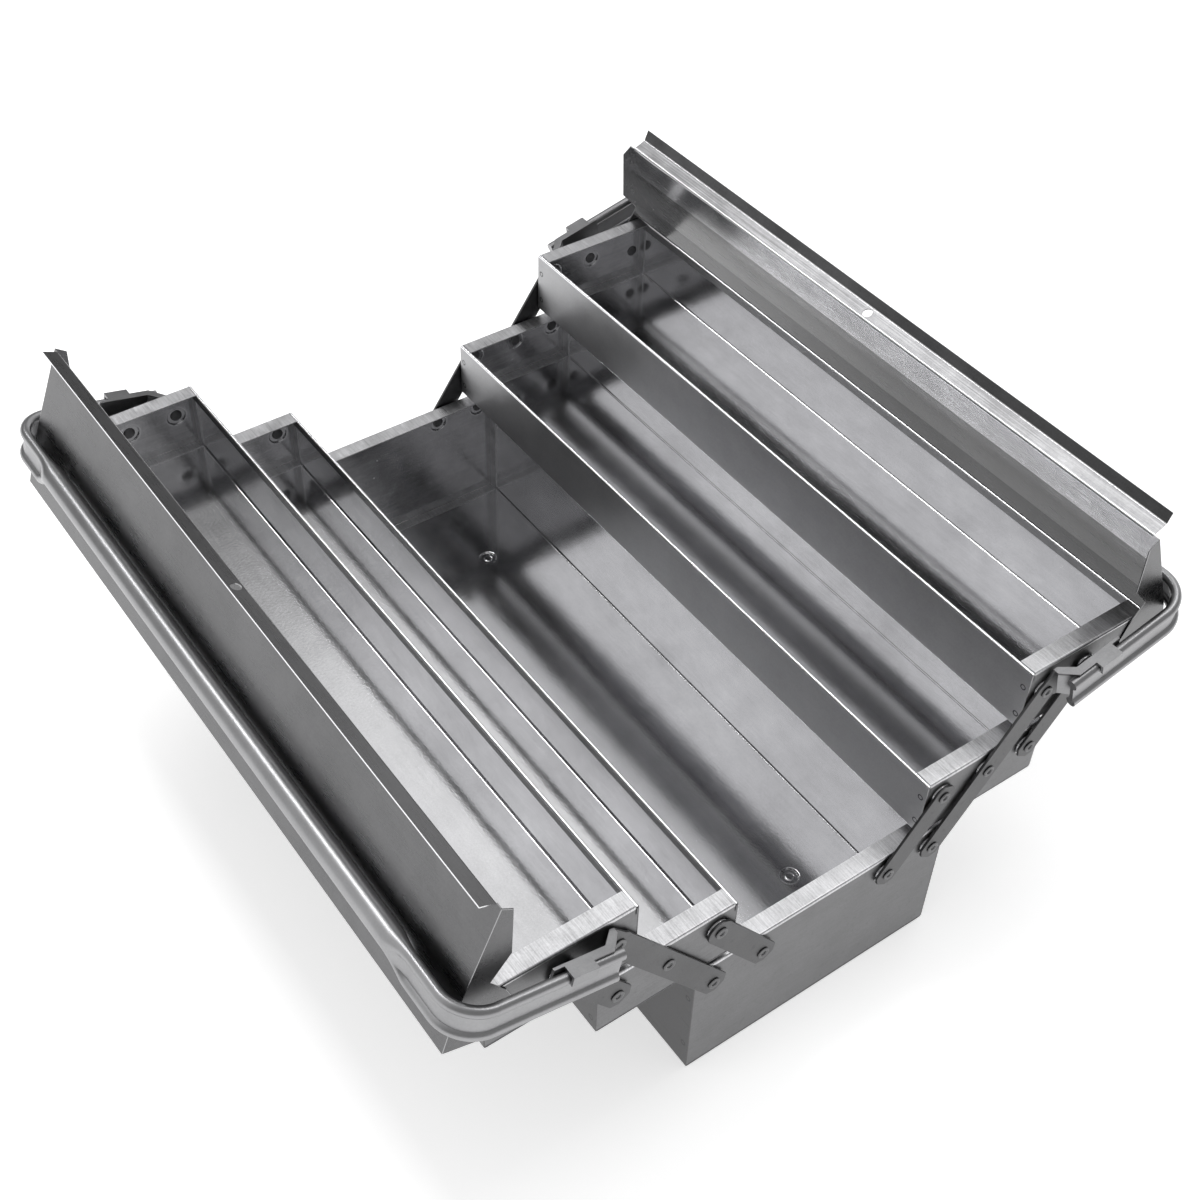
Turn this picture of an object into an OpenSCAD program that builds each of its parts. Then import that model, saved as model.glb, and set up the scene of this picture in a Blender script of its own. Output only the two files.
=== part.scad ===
// Cantilever tool box of plated sheet steel with a base tub, four trays and two lid halves, fully open.
// X runs along the box, Y across it and Z up. The origin is on the ground under the middle of the base.
// Each paired piece is drawn once, at the rear (+Y) and at the right-hand end (+X), and mirrored.

/* [Tubs] */
// Length of the base and of every tray over their end plates
box_len = 530; // [430:5:650]
// Width of the base tub
base_w = 200; // [190:1:220]
// Height of the base rim above the ground
base_h = 105; // [95:1:130]
// Thickness of the tub and end plate sheet
sheet = 0.8; // [0.6:0.1:1.0]
// Height of the folded hem inside the long rims
hem_h = 7; // [5:0.5:9]
// Thickness that the folded hem adds inside the wall
hem_t = 1.4; // [0.8:0.1:2]
// Width of the flat shelf along the top of each end plate
shelf_w = 12.5; // [9:0.5:16]
// Width of the welding flanges on the other edges of each end plate
weld_flange = 8; // [5:0.5:10]

/* [Trays] */
// Gap between front and rear trays when the box is closed
centre_gap = 1.5; // [1.2:0.1:3]
// How far the closed trays stand in from the sides of the base
tray_inset = 0.75; // [0.2:0.05:2]
// Height of the lower trays
lower_tray_h = 46.5; // [42:0.5:48]
// Height of the upper trays
upper_tray_h = 50; // [46:0.5:54]
// Gap between the base rim and the lower trays
lower_gap = 5; // [3:0.5:7]
// Gap between the lower tray rims and the upper trays
upper_gap = 6; // [3:0.5:8]

/* [Pressed feet] */
// Height of the feet pressed down from the floor
foot_h = 1.2; // [0.9:0.1:2]
// Diameter of each pressed foot
foot_d = 14; // [10:0.5:18]
// Distance between the feet along the box
foot_pitch_x = 380; // [300:5:400]
// Distance between the feet across the box
foot_pitch_y = 95; // [70:1:120]

/* [Links and rivets] */
// Distance between neighbouring rivets of every link
link_pitch = 62.5; // [60:0.5:64]
// Lean of the links from upright, outward when open and inward when closed
link_lean = 35.7; // [34:0.1:36.5]
// Depth of the base rivets below the base rim
base_pivot_drop = 15; // [12:0.5:18]
// Distance of the long link's base rivet from the side of the base
base_pivot_inset = 12; // [10:0.5:13]
// Spacing of the long link and the inner link
inner_spacing = 37.5; // [30:0.5:40]
// Spacing of the long link and the outer link
outer_spacing = 35.5; // [31:0.5:37]
// Width of the links
link_w = 18; // [15:0.5:19]
// Length of each link past its lower rivet
link_heel = 8.4; // [7:0.2:9]
// Corner cut off the lower end of each link
link_cut = 4.5; // [2:0.5:6]
// Thickness of the links
link_t = 1.8; // [1.5:0.1:2.2]
// Side play on each face of a moving plate
side_play = 0.2; // [0.15:0.05:0.3]
// Diameter of the bosses pressed out of the end plates around the rivets
boss_d = 15; // [13:0.5:15.5]
// Diameter of the rivet shanks
rivet_d = 5; // [4:0.5:5.5]
// Running clearance around a rivet shank, on the radius
rivet_fit = 0.05; // [0.02:0.01:0.08]
// Diameter of the rivet heads
rivet_head_d = 8.5; // [7.5:0.5:9.5]
// Thickness of the rivet heads
rivet_head_t = 1; // [0.7:0.1:1.1]

/* [Lids] */
// Thickness of the lid sheet
lid_t = 0.8; // [0.6:0.1:1.0]
// Gap between a lid's cheeks and the tray ends
lid_side_gap = 0.3; // [0.25:0.05:0.5]
// Distance of the lid rivet from the outer wall of the upper tray
lid_pivot_inset = 8.1; // [7:0.1:9]
// Height of the lid rivet above the bottom of the upper tray
lid_pivot_up = 21.5; // [20:0.5:24]
// Angle that the lid swings from shut to leaning back
lid_swing = 67.2; // [62:0.2:68]
// Height of the closed roof above the tray rim
roof_rise = 4.4; // [4:0.1:7]
// How far the closed lid stands out past the tray wall
lid_overhang = 5.8; // [4:0.1:8]
// Width of the sloping strip along the lid's outer edge
slope_w = 27; // [20:1:32]
// Slope of that strip when the lid is closed
slope_angle = 5.3; // [3:0.1:6]
// Gap between the free edges of the closed lids
lid_gap = 3.3; // [2.6:0.1:4.5]
// Height of the upright crest along each free edge
crest_h = 10.3; // [9:0.1:13]
// How far each end of the crest stops short of the lid's cheeks
crest_setback = 4; // [1:0.5:12]
// Width of the lip folded over from the rear crest
lip_w = 8.4; // [6:0.1:10]
// Diameter of the padlock hole through both crests
lock_hole_d = 7; // [5:0.5:8]
// Depth of the lid's cheek at the free edge
cheek_nose = 8.5; // [6:0.5:11]
// Greatest depth of the cheek
cheek_belly = 21.2; // [18:0.2:21.6]
// Distance of that greatest depth from the free edge
cheek_belly_at = 36; // [30:0.5:40]
// Depth of the cheek at its notch
cheek_notch = 14.4; // [12:0.2:14.8]
// Distance of the notch from the lid rivet
cheek_notch_at = 34; // [31:0.5:36]
// Distance of the ear's inner corner from the lid rivet, under the notch
ear_corner_at = 25; // [20:0.5:28]
// Height of that corner above the lid rivet
ear_corner_up = 4; // [2:0.5:6]
// How far the cheek's edge at the free end leans in
nose_lean = 2; // [0.5:0.5:4]
// How far the cheek's outer edge leans in down to the ear
ear_lean = 2.4; // [1:0.2:4]
// Width of the cheek's ear on the inner side of the lid rivet
ear_in = 12; // [9:0.5:14]
// Depth of the ear below the lid rivet
ear_drop = 8; // [7:0.5:10]

/* [Handles] */
// Diameter of the round grip
grip_d = 15; // [13:0.5:16]
// Diameter of the beads along the flattened tube
bead_d = 7; // [5.5:0.5:8]
// Distance between the two beads
bead_pitch = 17.5; // [16:0.5:20]
// Thickness of the web between the beads
web_t = 2.6; // [2:0.2:4]
// Upward tilt of the handle legs when the box is open
leg_tilt = 12.7; // [11:0.1:13.5]
// Distance from the end plates to the middle of the legs
leg_out = 14.5; // [12:0.5:16]
// Distance from the long link's top rivet to the end of the leg
leg_start = 9; // [9:0.5:16]
// Height of the leg's middle line over that rivet
leg_rise = 1.2; // [0.5:0.1:1.5]
// Gap between the grip and the roof of the open lid
grip_gap = 1.7; // [1.5:0.1:8]
// Height of the grip's middle line over the leg's middle line
grip_up = 5; // [4:0.2:6]
// Radius of the handle corners
corner_r = 22; // [16:1:24]
// Length of flattened tube past each corner
flat_run = 22; // [12:1:40]
// Length over which the tube turns from flat to round
flare_len = 22; // [14:1:40]

/* [Handle brackets] */
// Length of the bracket from the long link's top rivet
bracket_len = 52; // [50:0.5:60]
// Start of the bend that steps the bracket outward
step_start = 9.5; // [9.5:0.5:10]
// Length of the stepping bend
step_len = 8.5; // [7:0.5:10]
// Width of the flange along the top edge of the bracket
bracket_flange = 3.5; // [2:0.5:4]
// Distance of the bracket's shoulders from the start of the bend
shoulder_in = 3; // [2:0.5:5]
// Distance of the bracket's lower flange from the end of the bend
lower_flange_in = 2; // [1:0.5:4]
// Start of the folded clip that grips the leg
clip_start = 29; // [24:0.5:32]
// Width of the folded clip
clip_w = 16.5; // [12:0.5:18]
// Length of the clip's turned-down lip
clip_lip = 5; // [3:0.5:6]
// Gap between the leg and its bracket
leg_fit = 0.1; // [0.05:0.05:0.2]

/* [Hidden] */
$fn = 48;

// Movement of the links and places of the trays
link_run = link_pitch * sin(link_lean);
link_rise = link_pitch * cos(link_lean);
tray_shift = 2 * link_run;
tray_w = base_w / 2 - centre_gap / 2 - tray_inset;
lower_in = centre_gap / 2 + tray_shift;
upper_in = lower_in + tray_shift;
lower_z = base_h + lower_gap;
upper_z = lower_z + lower_tray_h + upper_gap;

// Rivet places as [y, z] at the rear
step_up = [link_run, link_rise];
long_0 = [base_w / 2 - base_pivot_inset, base_h - base_pivot_drop];
long_1 = long_0 + step_up;
long_2 = long_1 + step_up;
inner_0 = long_0 - [inner_spacing, 0];
inner_1 = inner_0 + step_up;
outer_1 = long_1 + [outer_spacing, 0];
outer_2 = outer_1 + step_up;
lid_at = [upper_in + tray_w - lid_pivot_inset, upper_z + lid_pivot_up];

// Layers outward from the end plates
end_x = box_len / 2;
boss_h = lid_side_gap + lid_t;
link_x = end_x + boss_h + side_play;
head_x = link_x + link_t + side_play;
cheek_x = end_x + lid_side_gap;
lid_head_x = cheek_x + lid_t + side_play;
dimple_d = boss_d - 2 * sheet;
dimple_x = end_x + boss_h - sheet;
hole_d = rivet_d + 2 * rivet_fit;
// Share of the shank's diameter, and of the head's thickness, that is hollow
hollow_d = 0.7;
hollow_t = 0.8;
// How far the sides of a link stand in from the circle round its upper rivet
link_ease = 0.2;

// Lid outline, seen closed, as distances from the lid rivet
roof_z = upper_tray_h - lid_pivot_up + roof_rise;
free_y = -(tray_w + centre_gap / 2 - lid_pivot_inset - lid_gap / 2);
edge_y = lid_pivot_inset + lid_overhang;
edge_z = roof_z - slope_w * sin(slope_angle);
hip_y = edge_y - slope_w * cos(slope_angle);
crest_z = roof_z + crest_h;
lock_hole_z = roof_z + crest_h / 2;

// Direction across the open lid's roof, and the grip's reach along the leg that clears that roof, to 0.1
roof_out = [sin(lid_swing), cos(lid_swing)];
roof_turn = lid_swing + leg_tilt;
grip_off = roof_z + grip_d / 2 + grip_gap - roof_out * (long_2 - lid_at);
grip_reach = round(10 * (grip_off - (leg_rise + grip_up) * cos(roof_turn)) / sin(roof_turn)) / 10;

// Handle and bracket, seen along the leg from the long link's top rivet
leg_x = end_x + leg_out;
leg_top = leg_rise + bead_pitch / 2 + bead_d / 2;
leg_low = leg_rise - bead_pitch / 2 - bead_d / 2;
plate_x = leg_x - bead_d / 2 - leg_fit - link_t;
step_end = step_start + step_len;
step_slack = link_t * tan(atan((plate_x - link_x) / step_len) / 2);
link_span = 2 * link_pitch + link_w;
shoulder = step_start - shoulder_in;
flange_waist = 0.6 * bracket_flange;
// Where the bracket's upper edge leaves the round end of the link
neck_in = 4;
neck_drop = 1.5;
flat_end_x = leg_x - corner_r - flat_run;
round_x = flat_end_x - flare_len;
cut = 1;

// Places a rear piece at the front instead
module front() mirror([0, 1, 0]) children();

// Places a right-hand piece at the left end instead
module left() mirror([1, 0, 0]) children();

// Draws a right-hand shape at both ends
module both_ends() {
    children();
    left() children();
}

// Turns an outline drawn as [y, z] into a plate from x0 to x1
module plate(x0, x1) {
    translate([x0, 0, 0]) rotate([90, 0, 90]) linear_extrude(x1 - x0) children();
}

// A round bar along X from x0 to x1 at [y, z]
module bar_x(at, d, x0, x1) {
    translate([x0, at[0], at[1]]) rotate([0, 90, 0]) cylinder(d = d, h = x1 - x0);
}

// A box given by its low and high corners
module block(low, high) {
    translate(low) cube(high - low);
}

// Floor and long walls of a tub, bent from one sheet, with its rims hemmed inward
module trough(y0, w, z0, h) {
    difference() {
        block([-end_x, y0, z0], [end_x, y0 + w, z0 + h]);
        block([-end_x - cut, y0 + sheet, z0 + sheet], [end_x + cut, y0 + w - sheet, z0 + h + cut]);
    }
    for (y = [y0 + sheet, y0 + w - sheet - hem_t])
        block([-end_x, y, z0 + h - hem_h], [end_x, y + hem_t, z0 + h]);
}

// Right-hand end plate of a tub with its shelf, welding flanges and riveted bosses
module end_plate(y0, w, z0, h, bossed, plain) {
    y_low = y0 + sheet;
    y_high = y0 + w - sheet;
    z_low = z0 + sheet;
    z_high = z0 + h;
    face_x = end_x - sheet;
    difference() {
        union() {
            plate(face_x, end_x) polygon([
                [y_low, z_low], [y_high, z_low], [y_high, z_high - hem_h],
                [y_high - hem_t, z_high - hem_h], [y_high - hem_t, z_high],
                [y_low + hem_t, z_high], [y_low + hem_t, z_high - hem_h], [y_low, z_high - hem_h]
            ]);
            block([end_x - shelf_w, y_low + hem_t, z_high - sheet], [end_x, y_high - hem_t, z_high]);
            block([end_x - weld_flange, y_low, z_low], [end_x, y_high, z_low + sheet]);
            for (y = [y_low, y_high - sheet])
                block([end_x - weld_flange, y, z_low], [end_x, y + sheet, z_high - hem_h]);
            for (at = bossed) bar_x(at, boss_d, face_x, end_x + boss_h);
        }
        for (at = bossed) {
            bar_x(at, dimple_d, face_x - cut, dimple_x);
            bar_x(at, hole_d, face_x - cut, end_x + boss_h + cut);
        }
        for (at = plain) bar_x(at, hole_d, face_x - cut, end_x + cut);
    }
}

// A semi-tubular rivet from its inner head to its outer head
module rivet(at, inner_x, outer_x) {
    tip_x = outer_x + rivet_head_t;
    difference() {
        union() {
            bar_x(at, rivet_head_d, inner_x - rivet_head_t, inner_x);
            bar_x(at, rivet_d, inner_x - rivet_head_t, tip_x);
            bar_x(at, rivet_head_d, outer_x, tip_x);
        }
        bar_x(at, rivet_d * hollow_d, tip_x - rivet_head_t * hollow_t, tip_x + cut);
    }
}

module base_tub() color([0.62, 0.62, 0.64]) {
    difference() {
        union() {
            trough(-base_w / 2, base_w, foot_h, base_h - foot_h);
            feet(foot_d, 0, foot_h + sheet);
        }
        feet(foot_d - 2 * sheet, sheet, foot_h + sheet + cut);
    }
}

// Round discs at the four foot places
module feet(d, z0, z1) {
    for (x = [-1, 1] * foot_pitch_x / 2, y = [-1, 1] * foot_pitch_y / 2)
        translate([x, y, z0]) cylinder(d = d, h = z1 - z0);
}

module base_end() color([0.66, 0.66, 0.68])
    end_plate(-base_w / 2, base_w, foot_h, base_h - foot_h, [
        long_0, inner_0, [-long_0[0], long_0[1]], [-inner_0[0], inner_0[1]]
    ], []);

module base_rivets() color([0.5, 0.5, 0.52])
    both_ends() for (at = [long_0, inner_0]) {
        rivet(at, dimple_x, head_x);
        front() rivet(at, dimple_x, head_x);
    }

module lower_tray() color([0.64, 0.64, 0.66]) trough(lower_in, tray_w, lower_z, lower_tray_h);

module lower_end() color([0.68, 0.68, 0.7])
    end_plate(lower_in, tray_w, lower_z, lower_tray_h, [inner_1, long_1, outer_1], []);

module lower_rivets() color([0.5, 0.5, 0.52])
    both_ends() for (at = [inner_1, long_1, outer_1]) rivet(at, dimple_x, head_x);

module upper_tray() color([0.64, 0.64, 0.66]) trough(upper_in, tray_w, upper_z, upper_tray_h);

module upper_end() color([0.68, 0.68, 0.7])
    end_plate(upper_in, tray_w, upper_z, upper_tray_h, [long_2, outer_2], [lid_at]);

module upper_rivets() color([0.5, 0.5, 0.52])
    both_ends() {
        for (at = [long_2, outer_2]) rivet(at, dimple_x, head_x);
        rivet(lid_at, end_x - sheet, lid_head_x);
    }

// Roof and sloping strip of a closed lid, seen from its end
module roof_profile() {
    polygon([
        [free_y, roof_z - lid_t], [hip_y, roof_z - lid_t],
        [edge_y - lid_t * sin(slope_angle), edge_z - lid_t * cos(slope_angle)],
        [edge_y, edge_z], [hip_y, roof_z], [free_y, roof_z]
    ]);
}

// Upright crest of a closed lid, with the rear lid's lip, seen from its end
module crest_profile(lipped) {
    translate([free_y, roof_z]) square([lid_t, crest_h]);
    if (lipped) {
        lip_y = free_y - lip_w * cos(45);
        lip_z = crest_z + lip_w * sin(45);
        polygon([
            [free_y, crest_z], [free_y + lid_t, crest_z],
            [free_y + lid_t, crest_z + lid_t * tan(22.5)],
            [lip_y + lid_t * sin(45), lip_z + lid_t * cos(45)], [lip_y, lip_z]
        ]);
    }
}

// Cheek at the end of a closed lid, with the ear that hangs on the lid rivet
module cheek_profile() {
    polygon([
        [free_y, roof_z - lid_t], [hip_y, roof_z - lid_t],
        [edge_y - lid_t * sin(slope_angle), edge_z - lid_t * cos(slope_angle)],
        [edge_y - ear_lean, -ear_drop], [-ear_in, -ear_drop],
        [-ear_corner_at, ear_corner_up], [-cheek_notch_at, roof_z - cheek_notch],
        [free_y + cheek_belly_at, roof_z - cheek_belly], [free_y + nose_lean, roof_z - cheek_nose]
    ]);
}

// Swings a shape drawn on a closed lid, about the lid rivet, to where the open lid leans
module open_lid() {
    translate([0, lid_at[0], lid_at[1]]) rotate([-lid_swing, 0, 0]) children();
}

module lid_roof() color([0.55, 0.55, 0.57])
    open_lid() plate(-cheek_x - lid_t, cheek_x + lid_t) roof_profile();

module lid_crest(lipped) color([0.56, 0.56, 0.58])
    open_lid() difference() {
        plate(crest_setback - cheek_x, cheek_x - crest_setback) crest_profile(lipped);
        translate([0, free_y - cut, lock_hole_z]) rotate([-90, 0, 0])
            cylinder(d = lock_hole_d, h = lid_t + 2 * cut);
    }

module lid_cheek() color([0.57, 0.57, 0.59])
    open_lid() difference() {
        plate(cheek_x, cheek_x + lid_t) cheek_profile();
        bar_x([0, 0], hole_d, cheek_x - cut, cheek_x + lid_t + cut);
    }

// Outline of a straight link as [y, z], cut to corners below rivet a and rounded past rivet b
module link_outline(a, b) {
    run = b - a;
    half = link_w / 2 - link_ease;
    heel = -link_heel;
    translate(b) circle(d = link_w);
    translate(a) rotate(atan2(run[1], run[0])) polygon([
        [heel, -half + link_cut], [heel + link_cut, -half], [norm(run), -half],
        [norm(run), half], [heel + link_cut, half], [heel, half - link_cut]
    ]);
}

// A flat link between two rivets
module short_link(a, b) color([0.45, 0.45, 0.47])
    difference() {
        plate(link_x, link_x + link_t) link_outline(a, b);
        for (at = [a, b]) bar_x(at, hole_d, link_x - cut, link_x + link_t + cut);
    }

module inner_link() short_link(inner_0, inner_1);

module outer_link() short_link(outer_1, outer_2);

// Turns a shape drawn along the leg so that it lies on the long link's top rivet
module along_leg() {
    translate([0, long_2[0], long_2[1]]) rotate([leg_tilt, 0, 0]) children();
}

// Plan of the long link's sheet, flat at the rivets and stepped outward at the leg
module stepped_plan() {
    polygon([
        [link_x, -link_span], [link_x, step_start], [plate_x, step_end],
        [plate_x, bracket_len], [plate_x + link_t, bracket_len],
        [plate_x + link_t, step_end - step_slack], [link_x + link_t, step_start - step_slack],
        [link_x + link_t, -link_span]
    ]);
}

// Plan of the narrow flange that follows the stepped sheet
module flange_plan() {
    polygon([
        [link_x + link_t, shoulder], [link_x + link_t, step_start - step_slack],
        [plate_x + link_t, step_end - step_slack], [plate_x + link_t, clip_start],
        [plate_x + link_t + bracket_flange, clip_start],
        [plate_x + link_t + bracket_flange, step_end - step_slack - flange_waist],
        [link_x + link_t + flange_waist, shoulder]
    ]);
}

// Outline of the long link and its bracket as [along the leg, above the rivet]
module bracket_outline() {
    top = leg_top + leg_fit + link_t;
    low = leg_low - leg_fit - link_t;
    rotate(-leg_tilt) link_outline(long_0 - long_2, [0, 0]);
    polygon([
        [-neck_in, link_w / 2 - neck_drop], [shoulder, top], [bracket_len, top], [bracket_len, low],
        [step_end, low], [shoulder, -link_w / 2]
    ]);
}

module long_link() color([0.45, 0.45, 0.47]) {
    top = leg_top + leg_fit;
    low = leg_low - leg_fit - link_t;
    face = plate_x + link_t;
    far = leg_x + bead_d / 2 + leg_fit;
    difference() {
        along_leg() {
            intersection() {
                translate([0, 0, -link_span]) linear_extrude(link_span + link_pitch) stepped_plan();
                plate(link_x - cut, face + cut) bracket_outline();
            }
            translate([0, 0, top]) linear_extrude(link_t) flange_plan();
            block([plate_x, clip_start, top], [far + link_t, clip_start + clip_w, top + link_t]);
            block([far, clip_start, top - clip_lip], [far + link_t, clip_start + clip_w, top]);
            block([plate_x, step_end + lower_flange_in, low], [leg_x, bracket_len, low + link_t]);
        }
        for (at = [long_0, long_1, long_2]) bar_x(at, hole_d, link_x - cut, link_x + link_t + cut);
    }
}

// One bead of the flattened tube, from the leg's end round the corner to the grip
module bead() {
    translate([leg_x, leg_start, 0]) rotate([-90, 0, 0])
        cylinder(d = bead_d, h = grip_reach - corner_r - leg_start);
    translate([leg_x - corner_r, grip_reach - corner_r, 0]) rotate_extrude(angle = 90)
        translate([corner_r, 0]) circle(d = bead_d);
    translate([flat_end_x, grip_reach, 0]) rotate([0, 90, 0]) cylinder(d = bead_d, h = flat_run);
}

// Web between the beads along the same path
module web() {
    translate([leg_x, leg_start, 0]) translate([-web_t / 2, 0, 0])
        cube([web_t, grip_reach - corner_r - leg_start, bead_pitch]);
    translate([leg_x - corner_r, grip_reach - corner_r, 0]) rotate_extrude(angle = 90)
        translate([corner_r - web_t / 2, 0]) square([web_t, bead_pitch]);
    translate([flat_end_x, grip_reach - web_t / 2, 0]) cube([flat_run, web_t, bead_pitch]);
}

// Transition from the flattened section to the round grip
module flare() {
    hull() {
        for (z = [-1, 1] * bead_pitch / 2)
            bar_x([grip_reach, leg_rise + z], bead_d, flat_end_x - 0.02, flat_end_x, $fn = 32);
        bar_x([grip_reach, leg_rise + grip_up], grip_d, round_x, round_x + 0.02, $fn = 32);
    }
}

module handle() color([0.6, 0.6, 0.62])
    along_leg() {
        bar_x([grip_reach, leg_rise + grip_up], grip_d, -round_x, round_x);
        both_ends() {
            flare();
            for (z = [-1, 1] * bead_pitch / 2) translate([0, 0, leg_rise + z]) bead();
            translate([0, 0, leg_rise - bead_pitch / 2]) web();
        }
    }

base_tub();
base_end();  // base_end_right
left() base_end();  // base_end_left
base_rivets();
front() lower_tray();  // lower_tray_front
front() lower_end();  // lower_front_end_right
front() left() lower_end();  // lower_front_end_left
front() lower_rivets();  // lower_front_rivets
lower_tray();  // lower_tray_rear
lower_end();  // lower_rear_end_right
left() lower_end();  // lower_rear_end_left
lower_rivets();  // lower_rear_rivets
front() upper_tray();  // upper_tray_front
front() upper_end();  // upper_front_end_right
front() left() upper_end();  // upper_front_end_left
front() upper_rivets();  // upper_front_rivets
upper_tray();  // upper_tray_rear
upper_end();  // upper_rear_end_right
left() upper_end();  // upper_rear_end_left
upper_rivets();  // upper_rear_rivets
front() lid_roof();  // lid_front
front() lid_crest(false);  // lid_crest_front
front() lid_cheek();  // lid_cheek_front_right
front() left() lid_cheek();  // lid_cheek_front_left
lid_roof();  // lid_rear
lid_crest(true);  // lid_crest_rear
lid_cheek();  // lid_cheek_rear_right
left() lid_cheek();  // lid_cheek_rear_left
front() long_link();  // long_link_front_right
front() left() long_link();  // long_link_front_left
long_link();  // long_link_rear_right
left() long_link();  // long_link_rear_left
front() inner_link();  // inner_link_front_right
front() left() inner_link();  // inner_link_front_left
inner_link();  // inner_link_rear_right
left() inner_link();  // inner_link_rear_left
front() outer_link();  // outer_link_front_right
front() left() outer_link();  // outer_link_front_left
outer_link();  // outer_link_rear_right
left() outer_link();  // outer_link_rear_left
front() handle();  // handle_front
handle();  // handle_rear
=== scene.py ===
"""A plated steel cantilever tool box, standing open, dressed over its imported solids."""

import math

import bmesh
import bpy
from mathutils import Matrix, Vector


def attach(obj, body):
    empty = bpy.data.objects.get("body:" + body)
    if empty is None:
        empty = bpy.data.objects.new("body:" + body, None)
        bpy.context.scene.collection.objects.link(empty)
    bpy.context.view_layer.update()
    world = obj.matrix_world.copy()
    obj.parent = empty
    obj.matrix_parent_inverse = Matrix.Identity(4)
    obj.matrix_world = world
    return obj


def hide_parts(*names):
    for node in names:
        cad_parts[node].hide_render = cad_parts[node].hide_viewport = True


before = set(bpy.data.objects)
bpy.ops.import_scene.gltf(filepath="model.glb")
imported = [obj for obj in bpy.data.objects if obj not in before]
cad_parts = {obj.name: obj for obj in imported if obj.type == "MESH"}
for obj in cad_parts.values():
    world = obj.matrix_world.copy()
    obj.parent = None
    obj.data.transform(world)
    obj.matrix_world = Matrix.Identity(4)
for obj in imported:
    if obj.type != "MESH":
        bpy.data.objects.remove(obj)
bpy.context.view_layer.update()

# Sizes in millimetres, as in the part's own source.
MM = 0.001
END_X = 265.0
BASE_W, BASE_H = 200.0, 105.0
SHEET = 0.8
HEM_H, HEM_T = 7.0, 1.4
SHELF_W, WELD_FLANGE = 12.5, 8.0
CENTRE_GAP, TRAY_INSET = 1.5, 0.75
LOWER_TRAY_H, UPPER_TRAY_H = 46.5, 50.0
LOWER_GAP, UPPER_GAP = 5.0, 6.0
FOOT_H, FOOT_D = 1.2, 14.0
FOOT_PITCH_X, FOOT_PITCH_Y = 380.0, 95.0
LINK_PITCH, LINK_LEAN = 62.5, math.radians(35.7)
LINK_T, SIDE_PLAY = 1.8, 0.2
RIVET_INSET, RIVET_DROP, INNER_STEP, OUTER_STEP = 12.0, 15.0, 37.5, 35.5
BOSS_D, RIVET_D, HOLE_R = 15.0, 5.0, 2.55
HEAD_R, HEAD_T = 4.25, 1.0
LID_T, LID_SIDE_GAP, LID_SWING = 0.8, 0.3, math.radians(67.2)
LID_PIVOT_INSET, LID_PIVOT_UP = 8.1, 21.5
ROOF_RISE, CREST_GAP, EDGE_OVERHANG = 4.4, 3.3, 5.8
SLOPE_W, SLOPE_ANGLE, CREST_SETBACK = 27.0, math.radians(5.3), 4.0
LIP_W, LIP_TURN = 8.4, math.radians(45)
LOCK_HOLE_D, CREST_H = 7.0, 10.3
NOSE, NOSE_LEAN, BELLY, BELLY_AT, NOTCH, NOTCH_AT = 8.5, 2.0, 21.2, 36.0, 14.4, 34.0
EAR_IN, EAR_DROP, EAR_LEAN, EAR_CORNER_AT, EAR_CORNER_UP = 12.0, 8.0, 2.4, 25.0, 4.0
LEG_OUT, LEG_START, LEG_RISE, LEG_TILT = 14.5, 9.0, 1.2, math.radians(12.7)
GRIP_D, GRIP_UP, GRIP_GAP = 15.0, 5.0, 1.7
BEAD_D, BEAD_PITCH, WEB_T = 7.0, 17.5, 2.6
CORNER_R, FLAT_RUN, FLARE_LEN = 22.0, 22.0, 22.0

# Fold radii, measured at the middle of the sheet.
FLOOR_BEND, FLANGE_BEND, SHELF_BEND = 1.6, 0.6, 0.9
HIP_BEND, CREST_BEND = 2.0, 1.2
BOSS_BEND, FOOT_BEND, PIP_BEND = 0.45, 0.6, 0.3

# Small forms that only this drawing has.
PRESSING_EDGE = 1.0
SHELF_FOLD_H = 2.0
FOOT_TAPER, PIP_OUTER_R, PIP_INNER_R, PIP_H = 0.5, 3.4, 2.6, 0.5
PIP_CENTRE_R = 0.001
CHEEK_EASE, LINK_EASE = 0.35, 0.3
WELD_IN, WELD_LEVELS = 4.5, (0.22, 0.7)
WELD_PROFILE = [(-0.1, 0), (-0.1, 2.2), (0.02, 2.2), (0.06, 1.9), (0.02, 1.5), (-0.04, 1.1), (-0.04, 0)]

# The most, in radians, that a rivet or a weld is turned about its own axis.
ANY_TURN = 6.0

# Where a finish or a painted tone changes on a sheet.
# Depth below a tub's rim of its painted highlight.
RIM_DEPTH = 1.3
FLANGE_END_GAP = 1.0
# How far from the lid rivet the painted dark reflection on the lid's inner face reaches.
PAINTED_DARK_RUN = 56.0
# Where the painted shade on the rear lid's lip begins, above the crest.
LIP_START = 0.5
# Where the clip's lighter painted tone begins along the handle's leg.
CLIP_FROM = 11.0

# How finely round and bent shapes are drawn.
ROUND_STEPS, RIVET_STEPS, WELD_STEPS = 48, 32, 24
BEAD_STEPS, WEB_STEPS, CORNER_STEPS, FLARE_STEPS = 18, 4, 16, 14
SHORTEST_STEP, MITRE_LIMIT = 0.02, 0.5
PUNCH_REACH = 3.0

LINK_RUN = LINK_PITCH * math.sin(LINK_LEAN)
LINK_RISE = LINK_PITCH * math.cos(LINK_LEAN)
TRAY_W = BASE_W / 2 - CENTRE_GAP / 2 - TRAY_INSET
LOWER_IN = CENTRE_GAP / 2 + 2 * LINK_RUN
UPPER_IN = LOWER_IN + 2 * LINK_RUN
LOWER_Z = BASE_H + LOWER_GAP
UPPER_Z = LOWER_Z + LOWER_TRAY_H + UPPER_GAP


def step_up(at):
    """The rivet one link higher than the rivet at (y, z)."""
    return (at[0] + LINK_RUN, at[1] + LINK_RISE)


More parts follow.
